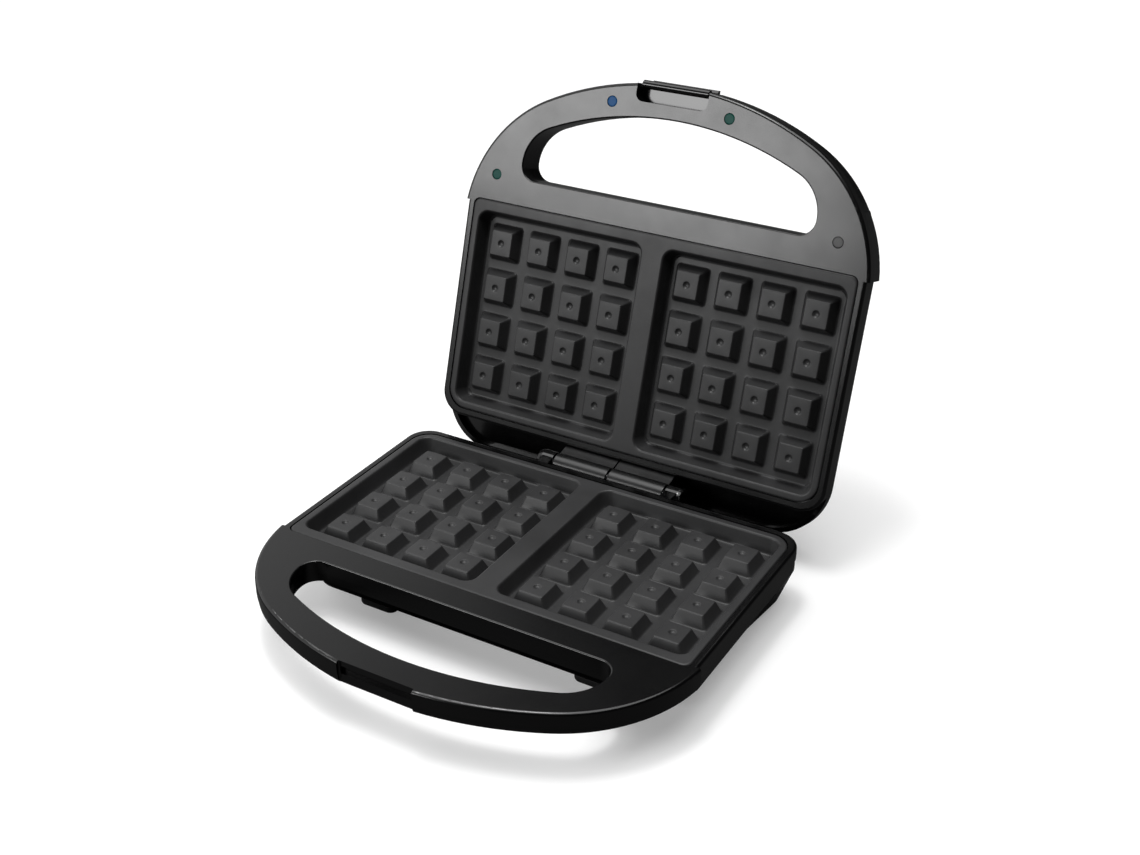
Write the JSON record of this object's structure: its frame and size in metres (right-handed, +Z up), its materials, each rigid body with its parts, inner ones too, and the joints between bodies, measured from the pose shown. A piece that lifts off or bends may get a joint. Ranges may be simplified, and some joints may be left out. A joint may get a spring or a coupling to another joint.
{
  "type": "waffle maker",
  "caption": "Hinged electric waffle maker with studded non-stick plates, twin square pockets, looped D handles, indicator lenses and a folding latch; lid open.",
  "frame": {"origin": "on the standing surface, under the middle of the open waffle maker's bounding box", "axes": "+X along the hinge towards the user's right, +Y from the handle to the hinge, +Z up"},
  "size_m": [0.2304, 0.2862, 0.2195],
  "materials": {
    "satin_black_plastic": "satin moulded",
    "gloss_black_plastic": "gloss moulded",
    "satin_charcoal_plastic": "satin moulded",
    "nonstick_aluminium": "non-stick coated die casting",
    "element_steel": "heat-dulled tube",
    "reflector_steel": "bright sheet",
    "zinc_screw": "zinc plated",
    "pin_steel": "drawn",
    "black_rubber": "matt",
    "thermostat_metal": "plated can",
    "fuse_metal": "plated",
    "terminal_ceramic": "unglazed",
    "wire_sleeve": "silicone",
    "blue_lens": "clear tinted",
    "green_lens": "clear tinted",
    "grey_plug": "satin",
    "lamp_glass": "clear"
  },
  "bodies": {
    "base": {"base_bezel": "satin_black_plastic", "base_case_screws": "zinc_screw", "base_shell": "gloss_black_plastic", "base_thermal_fuse": "fuse_metal", "base_wires": "wire_sleeve", "cord_bushing": "black_rubber", "hinge_bracket_left": "gloss_black_plastic", "hinge_bracket_right": "gloss_black_plastic", "hinge_leads": "wire_sleeve", "hinge_pin": "pin_steel", "hinge_screws": "zinc_screw", "lower_heating_element": "element_steel", "lower_plate_screws": "zinc_screw", "lower_reflector": "reflector_steel", "lower_waffle_plate": "nonstick_aluminium", "rubber_feet": "black_rubber", "terminal_block": "terminal_ceramic", "thermostat": "thermostat_metal"},
    "lid": {"blue_indicator_lens": "blue_lens", "green_indicator_lenses": "green_lens", "grey_screw_plug": "grey_plug", "hinge_barrel_left": "gloss_black_plastic", "hinge_barrel_right": "gloss_black_plastic", "indicator_lamps": "lamp_glass", "latch_pin": "pin_steel", "lid_bezel": "satin_charcoal_plastic", "lid_case_screws": "zinc_screw", "lid_shell": "gloss_black_plastic", "lid_thermal_fuse": "fuse_metal", "lid_wires": "wire_sleeve", "upper_heating_element": "element_steel", "upper_plate_screws": "zinc_screw", "upper_reflector": "reflector_steel", "upper_waffle_plate": "nonstick_aluminium"},
    "latch": {"latch_clip": "gloss_black_plastic"}
  },
  "joints": [
    {"name": "lid_hinge", "type": "hinge", "parent": "base", "child": "lid", "pos_m": [0, 0.0615, 0.027], "axis": [1, 0, 0], "range_deg": [0, 107.1]},
    {"name": "latch_pivot", "type": "hinge", "parent": "lid", "child": "latch", "pos_m": [-0.0032, 0.13156, 0.21731], "axis": [1, 0, 0], "range_deg": [0, 180]}
  ]
}
